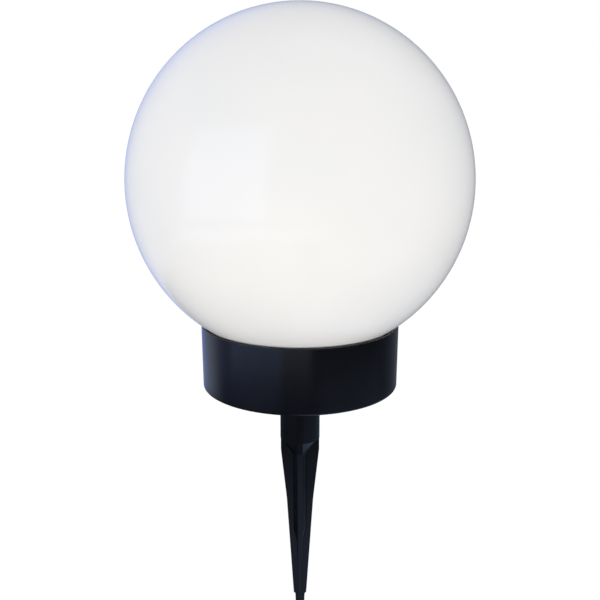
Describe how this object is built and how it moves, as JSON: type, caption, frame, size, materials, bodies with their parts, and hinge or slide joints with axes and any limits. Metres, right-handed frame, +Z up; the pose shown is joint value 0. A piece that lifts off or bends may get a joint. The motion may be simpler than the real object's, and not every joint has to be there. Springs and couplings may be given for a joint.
{
  "type": "garden globe light",
  "caption": "Opal white globe with a bayonet neck on a round black solar lamp base, plugged onto a cross-bladed ground stake.",
  "frame": {"origin": "on the stake's axis at the ground line, where the cross-shaped blade starts to taper", "axes": "+Z up along the stake to the globe; the battery door is on the +Y side of the base and the switch on the -Y side"},
  "size_m": [0.2, 0.2, 0.3779],
  "materials": {
    "opal_plastic": "glossy milk-white translucent blow moulding",
    "gasket_rubber": "matt black rubber",
    "black_plastic": "satin injection moulding",
    "stake_plastic": "satin injection moulding",
    "white_plastic": "satin injection moulding",
    "screw_steel": "zinc plated",
    "board_green": "glass-epoxy laminate with solder mask",
    "silicon": "dark blue silicon with fine silver lines",
    "clear_window": "clear epoxy, polished",
    "led_resin": "clear cast resin with tinned pins",
    "black_moulding": "matt moulding",
    "ferrite": "dull grey ferrite with a copper winding",
    "capacitor_sleeve": "shrunk sleeve",
    "battery_wrap": "plain shrunk sleeve with a bare metal nub",
    "spring_steel": "nickel plated",
    "contact_nickel": "nickel plated",
    "switch_steel": "tinned sheet",
    "lead_insulation": "soft insulation"
  },
  "bodies": {
    "stake": {"stake": "stake_plastic"},
    "globe": {"globe": "opal_plastic"},
    "door": {"battery_door": "black_plastic", "door_gasket": "gasket_rubber", "door_screws": "screw_steel"},
    "slider": {"switch_slider": "black_moulding"},
    "base": {"globe_gasket": "gasket_rubber", "base_shell": "black_plastic", "bayonet_ring": "black_plastic", "module_housing": "white_plastic", "deck_screws": "screw_steel", "cell_backing": "board_green", "solar_cell": "silicon", "cell_window": "clear_window", "leds": "led_resin", "circuit_board": "board_green", "board_screws": "screw_steel", "controller_chip": "black_moulding", "inductor": "ferrite", "capacitor": "capacitor_sleeve", "battery": "battery_wrap", "battery_spring": "spring_steel", "battery_contacts": "contact_nickel", "switch_body": "switch_steel", "switch_terminals": "contact_nickel", "switch_screws": "screw_steel", "battery_leads": "lead_insulation", "switch_leads": "lead_insulation", "cell_leads": "lead_insulation"}
  },
  "joints": [
    {"name": "lamp_lift", "type": "slide", "parent": "stake", "child": "base", "axis": [0, 0, 1], "range_m": [0, 0.03]},
    {"name": "globe_twist", "type": "hinge", "parent": "base", "child": "globe", "pos_m": [0, 0, 0.0786], "axis": [0, 0, 1], "range_deg": [0, 36]},
    {"name": "door_drop", "type": "slide", "parent": "base", "child": "door", "axis": [0, 0, -1], "range_m": [0, 0.012]},
    {"name": "switch_slide", "type": "slide", "parent": "base", "child": "slider", "axis": [1, 0, 0], "range_m": [0, 0.003]}
  ]
}
